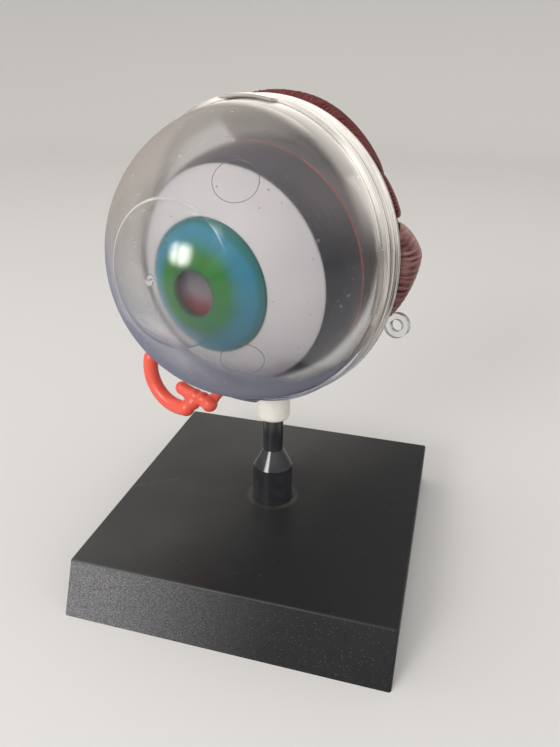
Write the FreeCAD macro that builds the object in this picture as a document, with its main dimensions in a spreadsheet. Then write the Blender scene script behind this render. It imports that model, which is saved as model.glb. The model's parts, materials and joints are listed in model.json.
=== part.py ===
import FreeCAD, Part
import math
import os
import re
import Sketcher
from FreeCAD import Vector

# Take-apart model of the human eye on a square plinth.  Millimetres, +Z up.
# Origin: underside of the plinth, below the post.  The plinth's front faces -Y.
# The clear globe is turned on its post, and the eye ball inside it dips a little.

SIZES = [
    # plinth
    ("base_width", 92, "top of the plinth, square"),
    ("base_height", 15, "plinth height"),
    ("base_slope", 6.2, "how far the front face runs out at the foot"),
    ("base_wall", 2.4, "side walls of the hollow plinth"),
    ("base_top", 2.6, "top plate of the plinth"),
    ("base_round", 0.8, "rounding of the plinth's top edges"),
    ("hub_radius", 8, "hub under the post"),
    ("rib_width", 1.8, "cross ribs inside the plinth"),
    ("rib_lift", 1.2, "ribs stop this far above the table"),
    # post and sleeve
    ("foot_radius", 6.3, "turned foot of the post"),
    ("foot_height", 12.3, "foot above the plinth"),
    ("cone_height", 5.6, "cone between foot and rod"),
    ("rod_radius", 3.1, "rod"),
    ("rod_chamfer", 0.5, "chamfer on the rod's top"),
    ("spigot_radius", 4, "spigot that plugs into the plinth"),
    ("spigot_depth", 9.5, "length of the spigot"),
    ("spigot_gap", 0.08, "radial clearance of the spigot"),
    ("rod_gap", 0.08, "radial running clearance of rod and plug in the sleeve"),
    ("sleeve_radius", 5.05, "white sleeve"),
    ("sleeve_length", 15.3, "length of the sleeve"),
    ("sleeve_round", 1.2, "rounding of the sleeve's lower edge"),
    ("plug_depth", 8, "plug of the globe inside the sleeve"),
    ("sleeve_web", 1.6, "web in the sleeve between rod and plug"),
    ("pad_radius", 4.4, "pad between sleeve and globe"),
    ("rest_gap", 0.1, "gap between faces that rest on each other"),
    ("past", 5, "how far a cutting solid reaches past what it cuts"),
    # clear globe
    ("globe_height", 96.8, "centre of the globe above the table"),
    ("globe_forward", 10.7, "centre of the globe in front of the post"),
    ("gaze_turn", 16, "globe turned on its post, degrees"),
    ("shell_tip", 4.5, "globe tipped back, degrees"),
    ("globe_radius", 37.6, "outside of the clear globe"),
    ("shell_wall", 1.3, "wall of the clear shells"),
    ("seam", 4.2, "front edge of the collar ahead of the centre"),
    ("cornea_radius", 24.4, "outside curve of the cornea"),
    ("cornea_base", 16.5, "radius of the circle where the cornea starts"),
    ("collar_back", 3.2, "collar behind the centre"),
    ("collar_gap", 0.12, "radial gap between collar and front shell"),
    ("collar_wall", 1.0, "wall of the collar"),
    ("collar_web", 2.4, "solid back of the collar"),
    ("bead_step", 0.35, "height of the bead round the collar"),
    ("bead_width", 1.5, "width of the bead"),
    ("groove_depth", 0.35, "groove round the collar"),
    ("groove_width", 0.6, "width of the groove"),
    ("tongue_back", 0.4, "tongue of the front shell reaches behind the centre"),
    ("tongue_gap", 0.15, "radial gap between tongue and collar"),
    ("finger_angle", 22, "width of a snap finger, degrees"),
    ("finger_height", 3.0, "snap finger above the collar"),
    ("finger_wall", 0.6, "thickness of a snap finger"),
    ("lug_radius", 3.4, "clear lug, outside"),
    ("lug_hole", 1.7, "hole of the lug"),
    ("lug_width", 2.2, "thickness of the lug"),
    ("lug_neck", 3.0, "width of the lug's neck"),
    ("lug_back", 18.8, "lug behind the globe's centre"),
    ("lug_reach", 38.1, "lug from the globe's axis"),
    ("lug_clock", 115.5, "lug round the axis, degrees from the top"),
    # eye ball inside the globe
    ("ball_right", 1.9, "ball centre beside the globe's axis"),
    ("ball_drop", 1.7, "ball centre below the globe's axis"),
    ("ball_dip", 6.5, "ball tipped forward in the globe, degrees"),
    ("ball_radius", 30.2, "outside of the choroid"),
    ("choroid_wall", 1.5, "wall of the choroid"),
    ("retina_wall", 0.8, "wall of the retina"),
    ("retina_rim", 0.4, "retina's rim, seen as a thin line at the seam"),
    ("nest_gap", 0.25, "gap between nested cups"),
    ("ball_seam", 2.0, "seam of the ball ahead of its centre"),
    ("ring_front", 13.6, "front edge of the choroid ring"),
    ("dome_radius", 37, "outside curve of the white dome"),
    ("dome_rim", 26.5, "rim radius of the white dome"),
    ("dome_edge", 0.7, "edge band of the white dome"),
    ("dome_wall", 1.3, "wall of the white dome"),
    ("dome_spigot", 3.0, "spigot of the dome inside the choroid ring"),
    ("spigot_wall", 1.2, "wall of the dome's spigot"),
    ("iris_radius", 16, "iris"),
    ("iris_gap", 0.2, "gap between iris and white dome"),
    ("iris_curve", 25, "outside curve of the iris"),
    ("iris_wall", 1.0, "wall of the iris"),
    ("iris_stand", 0.8, "iris stands in front of the white dome"),
    ("iris_skirt", 3.2, "skirt of the iris behind the dome's edge"),
    ("pupil_radius", 5.45, "pupil"),
    ("lens_radius", 10, "lens"),
    ("lens_gap", 0.2, "radial gap between lens and ciliary body"),
    ("lens_middle", 21.7, "lens centre ahead of the ball's centre"),
    ("lens_front", 14.5, "front curve of the lens"),
    ("lens_back", 10.9, "back curve of the lens"),
    ("lens_edge", 0.5, "half the lens's edge band"),
    ("holder_wall", 1.6, "ring round the lens"),
    ("holder_plate", 2.0, "plate of the ciliary body"),
    ("holder_lip", 0.9, "width of the seat behind the lens, and rim in front of it"),
    ("holder_seat", 1.8, "height of the seat's cone"),
    ("vitreous_front", 10.1, "flat front of the vitreous body"),
    ("vitreous_mouth", 20.5, "mouth radius of the vitreous body"),
    ("vitreous_wall", 1.6, "wall of the vitreous body"),
    # optic nerve and its seat
    ("nerve_radius", 4.0, "nerve plug"),
    ("nerve_gap", 0.08, "radial gap round the nerve plug"),
    ("nerve_stem", 4.8, "stem radius of the nerve"),
    ("nerve_collar", 6.4, "collar radius of the nerve"),
    ("nerve_collar_width", 2.0, "collar of the nerve"),
    ("nerve_length", 19, "nerve behind the globe"),
    ("nerve_round", 1.0, "rounding of the nerve's end"),
    ("disc_radius", 2.6, "hole in the retina at the nerve"),
    ("seat_radius", 8.5, "seat ring behind the ball"),
    ("ball_gap", 0.3, "gap between ball and seat ring"),
    # muscles
    ("muscle_gap", 0.3, "gap between muscles and globe"),
    ("muscle_edge", 1.1, "thickness of a muscle along its edge"),
    ("peg_radius", 1.5, "pegs of the muscles"),
    ("peg_gap", 0.08, "radial gap of a peg in its hole"),
    ("peg_reach", 0.6, "pegs end this far inside the wall"),
    ("superior_bulk", 4.3, "thickness of the superior rectus"),
    ("lateral_bulk", 5.0, "thickness of the lateral rectus"),
    ("medial_bulk", 5.0, "thickness of the medial rectus"),
    ("inferior_bulk", 3.6, "thickness of the inferior rectus"),
    ("oblique_bulk", 1.3, "thickness of the superior oblique"),
    ("loop_radius", 2.3, "tube of the inferior oblique"),
    ("head_radius", 2.0, "head of the inferior oblique"),
    ("knuckle_radius", 2.5, "knuckle where the inferior oblique's stalk begins"),
    ("stalk_radius", 1.6, "stalk of the inferior oblique"),
]

# name, clock angle, half width, start and end angle from the optical axis, thickness
MUSCLES = [
    ("superior_rectus", 8, 36, 98, 146, "superior_bulk"),
    ("lateral_rectus", 90, 18.5, 97, 140, "lateral_bulk"),
    ("medial_rectus", -90, 18.5, 97, 140, "medial_bulk"),
    ("inferior_rectus", 180, 23, 121, 152, "inferior_bulk"),
    ("superior_oblique", 59.7, 7, 103, 122, "oblique_bulk"),
]
MUSCLE_SECTIONS = 9
MUSCLE_END = 0.2         # share of half a wave left out at each end of a muscle
MUSCLE_WAIST = 0.75      # least width of a muscle against its widest
FINGERS = 4

# Inferior oblique: points beside, above and ahead of the globe's centre, in globe radii
LOOP_TIP = Vector(-0.955, -0.984, 0)
LOOP_MIDDLE = Vector(-0.870, -1.261, 0)
LOOP_END = Vector(-0.587, -1.332, 0)
HEAD_LEFT = Vector(-0.654, -1.184, -0.027)
HEAD_RIGHT = Vector(-0.378, -1.245, -0.027)
LOOP_PEG_CLOCK = -165
LOOP_PEG_ANGLE = 104

doc = FreeCAD.newDocument("EyeModel")
sheet = doc.addObject("Spreadsheet::Sheet", "Sizes")
for row, (alias, value, note) in enumerate(SIZES, start=1):
    sheet.set("A%d" % row, note)
    sheet.set("B%d" % row, str(value))
    sheet.setAlias("B%d" % row, alias)
doc.recompute()
ALIASES = {alias for alias, value, note in SIZES}


def size(alias):
    """A plain number from the sheet."""
    return float(sheet.get(alias))


def rule(text):
    """An expression in which every size of the sheet is named by its alias alone."""
    def cell(word):
        return "Sizes." + word.group() if word.group() in ALIASES else word.group()
    return re.sub(r"[a-z_]+", cell, str(text))


def bind(thing, **rules):
    for name, text in rules.items():
        thing.setExpression(name, rule(text))


def spot(x="0", y="0", z="0", yaw="0", pitch="0", roll="0"):
    """A placement, written as an expression."""
    return "placement(vector(%s; %s; %s); rotation(%s; %s; %s))" % (x, y, z, yaw, pitch, roll)


# Frames.  In the globe's and the ball's own frames X is to the right, Y is up and
# Z runs forward along the optical axis.
STAND = spot()
GLOBE = "%s * %s" % (
    spot(z="globe_height", yaw="-gaze_turn"),
    spot(y="-globe_forward", roll="90 - shell_tip"),
)
BALL = "%s * %s" % (GLOBE, spot("ball_right", "-ball_drop", "0", roll="ball_dip"))

# Sizes that follow from others
SHELL_INSIDE = "(globe_radius - shell_wall)"
SLEEVE_TOP = ("(globe_height - sqrt(globe_radius ^ 2 - (globe_forward - sleeve_radius) ^ 2)"
              " - 3 * rest_gap)")
SLEEVE_FOOT = "(%s - sleeve_length)" % SLEEVE_TOP
BORE_RADIUS = "(rod_radius + rod_gap)"
COLLAR_BORE = "(globe_radius + collar_gap)"
COLLAR_OUTSIDE = "(globe_radius + collar_gap + collar_wall)"
TONGUE_OUTSIDE = "(globe_radius + collar_gap - tongue_gap)"
CORNEA_CENTRE = ("(sqrt(globe_radius ^ 2 - cornea_base ^ 2)"
                 " - sqrt(cornea_radius ^ 2 - cornea_base ^ 2))")
CHOROID_INSIDE = "(ball_radius - choroid_wall)"
RETINA_OUTSIDE = "(ball_radius - choroid_wall - nest_gap)"
RETINA_INSIDE = "(ball_radius - choroid_wall - nest_gap - retina_wall)"
RING_BACK = "(ball_seam + 2 * rest_gap + retina_rim)"
VITREOUS_RADIUS = "(ball_radius - choroid_wall - 2 * nest_gap - retina_wall)"
DOME_BACK = "(ring_front + rest_gap)"
DOME_CENTRE = "(ring_front + rest_gap + dome_edge - sqrt(dome_radius ^ 2 - dome_rim ^ 2))"
IRIS_HOLE = "(iris_radius + iris_gap)"
IRIS_EDGE = "(%s + sqrt(dome_radius ^ 2 - %s ^ 2) + iris_stand)" % (DOME_CENTRE, IRIS_HOLE)
IRIS_CENTRE = "(%s - sqrt(iris_curve ^ 2 - iris_radius ^ 2))" % IRIS_EDGE
SPIGOT_OUTSIDE = "(sqrt(%s ^ 2 - ring_front ^ 2) - nest_gap)" % CHOROID_INSIDE
HOLDER_OUTSIDE = "(%s - spigot_wall - nest_gap)" % SPIGOT_OUTSIDE
HOLDER_BORE = "(lens_radius + lens_gap)"
HOLDER_BACK = "(vitreous_front + rest_gap)"
NERVE_BORE = "(nerve_radius + nerve_gap)"


def solid(kind, name, frame, shift=STAND, **sizes):
    """A Part primitive, with its sizes and its place bound to the sheet."""
    thing = doc.addObject("Part::" + kind, name)
    bind(thing, Placement=frame + " * " + shift, **sizes)
    return thing


def fuse(name, *pieces):
    thing = doc.addObject("Part::MultiFuse", name)
    thing.Shapes = list(pieces)
    return thing


def common(name, *pieces):
    thing = doc.addObject("Part::MultiCommon", name)
    thing.Shapes = list(pieces)
    return thing


def cut(name, piece, *tools):
    thing = doc.addObject("Part::Cut", name)
    thing.Base = piece
    thing.Tool = tools[0] if len(tools) == 1 else fuse(name + "_tools", *tools)
    return thing


def ring(name, frame, low, high, inside, outside):
    """A ring about the frame's Z axis, between two heights and two radii."""
    height = "%s - %s" % (high, low)
    outer = solid("Cylinder", name + "_outer", frame, spot(z=low), Radius=outside, Height=height)
    bore = solid("Cylinder", name + "_bore", frame, spot(z=low + " - past"),
                 Radius=inside, Height=height + " + 2 * past")
    return cut(name, outer, bore)


def origin_plane(body, role):
    return [plane for plane in body.Origin.OriginFeatures if plane.Role == role][0]


def sketch(body, name, role, lift=None):
    drawing = body.newObject("Sketcher::SketchObject", name)
    drawing.AttachmentSupport = [(origin_plane(body, role), "")]
    drawing.MapMode = "FlatFace"
    if lift:
        drawing.setExpression("AttachmentOffset.Base.z", rule(lift))
    return drawing


def polygon(drawing, corners):
    """A closed outline; each corner is a pair of expressions from the sketch's origin."""
    doc.recompute()
    first = drawing.GeometryCount
    start = [Vector(value(x), value(y), 0) for x, y in corners]
    count = len(corners)
    for step in range(count):
        drawing.addGeometry(Part.LineSegment(start[step], start[(step + 1) % count]))
    for step in range(count):
        after = first + (step + 1) % count
        drawing.addConstraint(Sketcher.Constraint("Coincident", first + step, 2, after, 1))
    for step, (x, y) in enumerate(corners):
        for way, text, number in (("DistanceX", x, start[step].x), ("DistanceY", y, start[step].y)):
            made = drawing.addConstraint(Sketcher.Constraint(way, -1, 1, first + step, 1, number))
            drawing.setExpression("Constraints[%d]" % made, rule(text))


def circle(drawing, radius):
    made = drawing.addGeometry(Part.Circle(Vector(0, 0, 0), Vector(0, 0, 1), value(radius)))
    drawing.addConstraint(Sketcher.Constraint("Coincident", made, 3, -1, 1))
    bound = drawing.addConstraint(Sketcher.Constraint("Radius", made, value(radius)))
    drawing.setExpression("Constraints[%d]" % bound, rule(radius))


def value(text):
    """The number that an expression has now."""
    answer = sheet.evalExpression(rule(text).replace("Sizes.", ""))
    return float(getattr(answer, "Value", answer))


def revolved(name, frame, corners):
    """A body turned about its frame's Z axis from an outline of radius and height."""
    body = doc.addObject("PartDesign::Body", name)
    drawing = sketch(body, name + "_outline", "XZ_Plane")
    polygon(drawing, corners)
    turned = body.newObject("PartDesign::Revolution", name + "_turned")
    turned.Profile = drawing
    turned.ReferenceAxis = (drawing, ["V_Axis"])
    turned.Angle = 360
    bind(body, Placement=frame)
    return body


def edges_where(shape, test):
    return ["Edge%d" % (place + 1) for place, edge in enumerate(shape.Edges) if test(edge)]


def rounded(body, feature, radius, test):
    """Round the edges of the feature that pass a test."""
    doc.recompute()
    fillet = body.newObject("PartDesign::Fillet", body.Name + "_round")
    fillet.Base = (feature, edges_where(feature.Shape, test))
    bind(fillet, Radius=radius)
    return fillet


# Plinth: a hollow block with a sloped front, a hub for the post and cross ribs
base = doc.addObject("PartDesign::Body", "base")
side_view = sketch(base, "base_side", "YZ_Plane")
polygon(side_view, [
    ("-base_width / 2 - base_slope", "0"),
    ("base_width / 2", "0"),
    ("base_width / 2", "base_height"),
    ("-base_width / 2", "base_height"),
])
block = base.newObject("PartDesign::Pad", "base_block")
block.Profile = side_view
block.Midplane = True
bind(block, Length="base_width")
rounded(base, block, "base_round",
        lambda edge: edge.BoundBox.ZMax > size("base_height") - 0.01)

hollow_outline = sketch(base, "base_hollow_outline", "XY_Plane")
polygon(hollow_outline, [
    ("-base_width / 2 + base_wall", "-base_width / 2 + base_wall"),
    ("base_width / 2 - base_wall", "-base_width / 2 + base_wall"),
    ("base_width / 2 - base_wall", "base_width / 2 - base_wall"),
    ("-base_width / 2 + base_wall", "base_width / 2 - base_wall"),
])
hollow = base.newObject("PartDesign::Pocket", "base_hollow")
hollow.Profile = hollow_outline
hollow.Reversed = True
bind(hollow, Length="base_height - base_top")

hub_outline = sketch(base, "base_hub_outline", "XY_Plane")
circle(hub_outline, "hub_radius")
hub = base.newObject("PartDesign::Pad", "base_hub")
hub.Profile = hub_outline
bind(hub, Length="base_height - base_top / 2")

for way, wide, deep in (("long", "base_width / 2 - base_wall / 2", "rib_width / 2"),
                        ("cross", "rib_width / 2", "base_width / 2 - base_wall / 2")):
    rib_outline = sketch(base, "base_rib_outline_" + way, "XY_Plane", lift="rib_lift")
    polygon(rib_outline, [("-(%s)" % wide, "-(%s)" % deep), (wide, "-(%s)" % deep),
                          (wide, deep), ("-(%s)" % wide, deep)])
    rib = base.newObject("PartDesign::Pad", "base_rib_" + way)
    rib.Profile = rib_outline
    bind(rib, Length="base_height - base_top / 2 - rib_lift")

socket_outline = sketch(base, "base_socket_outline", "XY_Plane", lift="base_height")
circle(socket_outline, "spigot_radius + spigot_gap")
socket = base.newObject("PartDesign::Pocket", "base_socket")
socket.Profile = socket_outline
bind(socket, Length="spigot_depth + rest_gap")

# Post: spigot, foot, cone and rod, turned in one piece
WEB_TOP = "(%s - plug_depth - rest_gap)" % SLEEVE_TOP
ROD_TOP = "(%s - sleeve_web - rest_gap)" % WEB_TOP
post = revolved("post", STAND, [
    ("0", "base_height - spigot_depth"),
    ("spigot_radius", "base_height - spigot_depth"),
    ("spigot_radius", "base_height"),
    ("foot_radius", "base_height"),
    ("foot_radius", "base_height + foot_height"),
    ("rod_radius", "base_height + foot_height + cone_height"),
    ("rod_radius", ROD_TOP + " - rod_chamfer"),
    ("rod_radius - rod_chamfer", ROD_TOP),
    ("0", ROD_TOP),
])

# Sleeve: bored from both ends, it turns on the rod and takes the globe's plug
sleeve = revolved("sleeve", STAND, [
    ("0", WEB_TOP + " - sleeve_web"),
    (BORE_RADIUS, WEB_TOP + " - sleeve_web"),
    (BORE_RADIUS, SLEEVE_FOOT),
    ("sleeve_radius", SLEEVE_FOOT),
    ("sleeve_radius", SLEEVE_TOP),
    (BORE_RADIUS, SLEEVE_TOP),
    (BORE_RADIUS, WEB_TOP),
    ("0", WEB_TOP),
])
rounded(sleeve, sleeve.Tip, "sleeve_round",
        lambda edge: (edge.BoundBox.ZMax < value(SLEEVE_FOOT) + 0.01
                      and edge.BoundBox.XLength > 2 * size("sleeve_radius") - 0.01))

# Front shell: clear dome with the cornea and a tongue for the collar
front_outside = fuse(
    "front_outside",
    solid("Sphere", "front_sphere", GLOBE, Radius="globe_radius",
          Angle1="asin(seam / globe_radius)"),
    solid("Sphere", "cornea_sphere", GLOBE, spot(z=CORNEA_CENTRE), Radius="cornea_radius"),
    solid("Cylinder", "tongue", GLOBE, spot(z="-tongue_back"), Radius=TONGUE_OUTSIDE,
          Height="tongue_back + seam"),
)
front_shell = cut(
    "front_shell", front_outside,
    solid("Sphere", "front_inside", GLOBE, Radius=SHELL_INSIDE),
    solid("Sphere", "cornea_inside", GLOBE, spot(z=CORNEA_CENTRE),
          Radius="cornea_radius - shell_wall"),
)

# Rear shell: clear bowl with the collar, snap fingers, lug, plug and seat ring
collar = solid("Cylinder", "collar", GLOBE, spot(z="-collar_back"), Radius=COLLAR_OUTSIDE,
               Height="collar_back + seam")
bead = solid("Cylinder", "bead", GLOBE, spot(z="-collar_back"),
             Radius=COLLAR_OUTSIDE + " + bead_step", Height="bead_width")
groove = ring("groove", GLOBE, "(seam / 2 - groove_width)", "(seam / 2)",
              COLLAR_OUTSIDE + " - groove_depth", COLLAR_OUTSIDE + " + past")
collar_bore = solid("Cylinder", "collar_bore", GLOBE, spot(z="collar_web - collar_back"),
                    Radius=COLLAR_BORE, Height="collar_back + seam + finger_height")
fingers = []
for number in range(FINGERS):
    middle = 90 + number * 360 / FINGERS
    fingers.append(solid("Cylinder", "finger_%d" % (number + 1), GLOBE,
                         spot(z="0", yaw="%g - finger_angle / 2" % middle),
                         Radius=COLLAR_BORE + " + finger_wall",
                         Height="seam + finger_height",
                         Angle="finger_angle"))
bowl = solid("Sphere", "bowl", GLOBE, Radius="globe_radius",
             Angle2="-asin(collar_back / globe_radius)")
plug = solid("Cylinder", "plug", STAND, spot(z=SLEEVE_TOP + " - plug_depth"),
             Radius="rod_radius", Height="plug_depth + globe_radius / 10")
pad = solid("Cylinder", "pad", STAND, spot(z=SLEEVE_TOP + " + rest_gap"),
            Radius="pad_radius", Height="globe_radius / 10")
LUG = GLOBE + " * " + spot(z="-lug_back - lug_width / 2", yaw="90 - lug_clock")
lug = solid("Cylinder", "lug", LUG, spot(x="lug_reach"), Radius="lug_radius",
            Height="lug_width")
lug_neck = solid("Box", "lug_neck", LUG,
                 spot("sqrt(globe_radius ^ 2 - lug_back ^ 2) - shell_wall", "-lug_neck / 2"),
                 Length="lug_reach - sqrt(globe_radius ^ 2 - lug_back ^ 2)",
                 Width="lug_neck", Height="lug_width")
rear_walls = cut(
    "rear_walls",
    fuse("rear_outside", bowl, collar, bead, plug, pad, lug, lug_neck, *fingers),
    collar_bore, groove,
    solid("Sphere", "rear_inside", GLOBE, Radius=SHELL_INSIDE),
)
seat = common(
    "seat",
    cut("seat_ring",
        solid("Cylinder", "seat_outer", BALL, spot(z="-globe_radius - past"),
              Radius="seat_radius", Height="globe_radius"),
        solid("Sphere", "seat_hollow", BALL, Radius="ball_radius + ball_gap")),
    solid("Sphere", "seat_limit", GLOBE, Radius="globe_radius - shell_wall / 2"),
)
peg_spots = [(name, clock, (start + end) / 2) for name, clock, half, start, end, bulk in MUSCLES]
peg_spots.append(("inferior_oblique", LOOP_PEG_CLOCK, LOOP_PEG_ANGLE))
peg_holes = []
for name, clock, angle in peg_spots:
    peg_holes.append(solid("Cylinder", name + "_hole", GLOBE,
                           spot(yaw=str(-clock), roll=str(-angle))
                           + " * " + spot(z=SHELL_INSIDE + " - shell_wall"),
                           Radius="peg_radius + peg_gap", Height="3 * shell_wall"))
rear_shell = cut(
    "rear_shell", fuse("rear_whole", rear_walls, seat),
    solid("Cylinder", "nerve_hole", BALL, spot(z="-globe_radius - past"), Radius=NERVE_BORE,
          Height="globe_radius"),
    solid("Cylinder", "lug_bore", LUG, spot("lug_reach", "0", "-past"), Radius="lug_hole",
          Height="lug_width + 2 * past"),
    *peg_holes,
)

# Choroid: dark cup behind the seam and dark ring in front of it
choroid_cup = cut(
    "choroid_cup",
    solid("Sphere", "cup_outside", BALL, Radius="ball_radius",
          Angle2="asin(ball_seam / ball_radius)"),
    solid("Sphere", "cup_inside", BALL, Radius=CHOROID_INSIDE),
    solid("Cylinder", "cup_nerve_hole", BALL, spot(z="-globe_radius"), Radius=NERVE_BORE,
          Height="globe_radius / 2"),
)
choroid_ring = cut(
    "choroid_ring",
    common("ring_zone",
           solid("Sphere", "ring_outside", BALL, Radius="ball_radius"),
           solid("Cylinder", "ring_slab", BALL, spot(z=RING_BACK), Radius="ball_radius",
                 Height="ring_front - %s" % RING_BACK)),
    solid("Sphere", "ring_inside", BALL, Radius=CHOROID_INSIDE),
)

# Retina: thin lining with a rim that lies in the ball's seam
retina_rim = common(
    "retina_rim_zone",
    ring("retina_rim_ring", BALL, "(ball_seam + rest_gap)", "(ball_seam + rest_gap + retina_rim)",
         RETINA_OUTSIDE + " - retina_wall", "ball_radius"),
    solid("Sphere", "retina_rim_limit", BALL, Radius="ball_radius + rest_gap"),
)
retina_cup = cut(
    "retina_cup",
    solid("Sphere", "retina_outside", BALL, Radius=RETINA_OUTSIDE,
          Angle2="asin((ball_seam + rest_gap + retina_rim) / %s)" % RETINA_OUTSIDE),
    solid("Sphere", "retina_inside", BALL, Radius=RETINA_INSIDE),
    solid("Cylinder", "retina_disc_hole", BALL, spot(z="-globe_radius"),
          Radius="disc_radius", Height="globe_radius / 2"),
)
retina = fuse("retina", retina_cup, retina_rim)

# White dome: front of the sclera, with a spigot for the choroid ring
sclera_cap = common(
    "sclera_cap",
    cut("sclera_curve",
        solid("Sphere", "sclera_outside", BALL, spot(z=DOME_CENTRE), Radius="dome_radius"),
        solid("Sphere", "sclera_inside", BALL, spot(z=DOME_CENTRE),
              Radius="dome_radius - dome_wall")),
    solid("Cylinder", "sclera_limit", BALL, spot(z=DOME_BACK), Radius="dome_rim",
          Height="dome_radius"),
)
sclera_dome = cut(
    "sclera_dome",
    fuse("sclera_whole", sclera_cap,
         ring("sclera_spigot", BALL, "(%s - dome_spigot)" % DOME_BACK,
              "(%s + dome_edge / 2)" % DOME_BACK,
              "(%s - spigot_wall)" % SPIGOT_OUTSIDE, SPIGOT_OUTSIDE),
         ring("sclera_rim", BALL, DOME_BACK, "(%s + dome_edge)" % DOME_BACK,
              "(%s - spigot_wall)" % SPIGOT_OUTSIDE, "dome_rim")),
    solid("Cylinder", "sclera_mouth", BALL, spot(z=DOME_BACK + " - past"), Radius=IRIS_HOLE,
          Height="dome_radius"),
)

# Iris: domed cap with a skirt and the pupil
iris_cap = common(
    "iris_cap",
    solid("Sphere", "iris_outside", BALL, spot(z=IRIS_CENTRE), Radius="iris_curve"),
    solid("Cylinder", "iris_limit", BALL, spot(z=IRIS_EDGE + " - iris_skirt"),
          Radius="iris_radius", Height="iris_curve"),
)
iris = cut(
    "iris", iris_cap,
    common("iris_hollow",
           solid("Sphere", "iris_inside", BALL, spot(z=IRIS_CENTRE),
                 Radius="iris_curve - iris_wall"),
           solid("Cylinder", "iris_bore", BALL, spot(z=IRIS_EDGE + " - iris_skirt - past"),
                 Radius="iris_radius - iris_wall", Height="iris_curve")),
    solid("Cylinder", "pupil", BALL, spot(z=IRIS_EDGE),
          Radius="pupil_radius", Height="iris_curve"),
)

# Lens: two curves that meet in a narrow edge band
LENS_FRONT = "(lens_middle + lens_edge - sqrt(lens_front ^ 2 - lens_radius ^ 2))"
LENS_BACK = "(lens_middle - lens_edge + sqrt(lens_back ^ 2 - lens_radius ^ 2))"
lens = common(
    "lens",
    solid("Sphere", "lens_front_curve", BALL, spot(z=LENS_FRONT), Radius="lens_front"),
    solid("Sphere", "lens_back_curve", BALL, spot(z=LENS_BACK), Radius="lens_back"),
    solid("Cylinder", "lens_limit", BALL, spot(z="lens_middle - lens_back"),
          Radius="lens_radius", Height="2 * lens_back"),
)

# Ciliary body: plate on the vitreous body with a ring that holds the lens
LENS_SEAT = "(lens_middle - lens_edge - rest_gap)"
ciliary_body = revolved("ciliary_body", BALL, [
    (HOLDER_BORE + " - holder_lip", HOLDER_BACK),
    (HOLDER_OUTSIDE, HOLDER_BACK),
    (HOLDER_OUTSIDE, HOLDER_BACK + " + holder_plate"),
    (HOLDER_BORE + " + holder_wall", HOLDER_BACK + " + holder_plate"),
    (HOLDER_BORE + " + holder_wall", "lens_middle + lens_edge + holder_lip"),
    (HOLDER_BORE, "lens_middle + lens_edge + holder_lip"),
    (HOLDER_BORE, LENS_SEAT),
    (HOLDER_BORE + " - holder_lip", LENS_SEAT + " - holder_seat"),
])

# Vitreous body: clear bowl with a flat front
vitreous_body = cut(
    "vitreous_body",
    solid("Sphere", "vitreous_outside", BALL, Radius=VITREOUS_RADIUS,
          Angle2="asin(vitreous_front / %s)" % VITREOUS_RADIUS),
    common("vitreous_hollow",
           solid("Sphere", "vitreous_curve", BALL, Radius=VITREOUS_RADIUS + " - vitreous_wall"),
           solid("Cylinder", "vitreous_bore", BALL, spot(z="-globe_radius"),
                 Radius="vitreous_mouth", Height="2 * globe_radius")),
)

# Optic nerve: plug through the seat ring, collar and stem.  Its heights run backwards
# from the ball's centre, and its collar clears the globe's curve.
NERVE_TIP = "-(%s + nest_gap)" % RETINA_OUTSIDE
NERVE_SHOULDER = ("-(sqrt(globe_radius ^ 2 - nerve_collar ^ 2) + ball_right + ball_drop"
                  " + muscle_gap)")
NERVE_END = "(%s - nerve_length)" % NERVE_SHOULDER
optic_nerve = revolved("optic_nerve", BALL, [
    ("0", NERVE_TIP),
    ("0", NERVE_END),
    ("nerve_stem", NERVE_END),
    ("nerve_stem", NERVE_SHOULDER + " - nerve_collar_width"),
    ("nerve_collar", NERVE_SHOULDER + " - nerve_collar_width"),
    ("nerve_collar", NERVE_SHOULDER),
    ("nerve_radius", NERVE_SHOULDER),
    ("nerve_radius", NERVE_TIP),
])
rounded(optic_nerve, optic_nerve.Tip, "nerve_round",
        lambda edge: (edge.BoundBox.ZMax < value(NERVE_END) + 0.01
                      and edge.BoundBox.XLength > 2 * size("nerve_stem") - 0.01))


def towards(clock, angle):
    """Unit vector in the globe's frame: clock from the top, angle from the optical axis."""
    turn = math.radians(clock)
    lean = math.radians(angle)
    return Vector(math.sin(lean) * math.sin(turn), math.sin(lean) * math.cos(turn),
                  math.cos(lean))


def peg(clock, angle, top):
    """Round peg along a radius of the globe, from inside the wall out to a height."""
    way = towards(clock, angle)
    start = size("globe_radius") - size("shell_wall") - size("peg_reach")
    return Part.makeCylinder(size("peg_radius"), top - start, way * start, way)


def muscle(clock, half_width, start, end, bulk):
    """Curved band that follows the globe: thick in the middle, thin along its edges."""
    inner = size("globe_radius") + size("muscle_gap")
    across = Vector(math.cos(math.radians(clock)), -math.sin(math.radians(clock)), 0)
    outlines = []
    for step in range(MUSCLE_SECTIONS):
        share = step / (MUSCLE_SECTIONS - 1)
        swell = math.sin(math.pi * (MUSCLE_END + (1 - 2 * MUSCLE_END) * share))
        half = math.radians(half_width) * (MUSCLE_WAIST + (1 - MUSCLE_WAIST) * swell)
        crown = size("muscle_edge") + (bulk - size("muscle_edge")) * swell
        ahead = towards(clock, start + (end - start) * share)

        def point(side, radius):
            return (ahead * math.cos(side * half) + across * math.sin(side * half)) * radius

        low = [point(side, inner) for side in (-1, 0, 1)]
        high = [point(1, inner + size("muscle_edge")), point(0, inner + crown),
                point(-1, inner + size("muscle_edge"))]
        outlines.append(Part.Wire([
            Part.Arc(*low).toShape(),
            Part.LineSegment(low[2], high[0]).toShape(),
            Part.Arc(*high).toShape(),
            Part.LineSegment(high[2], low[0]).toShape(),
        ]))
    band = Part.makeLoft(outlines, True, False)
    return band.fuse(peg(clock, (start + end) / 2, inner + size("muscle_edge"))).removeSplitter()


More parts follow.
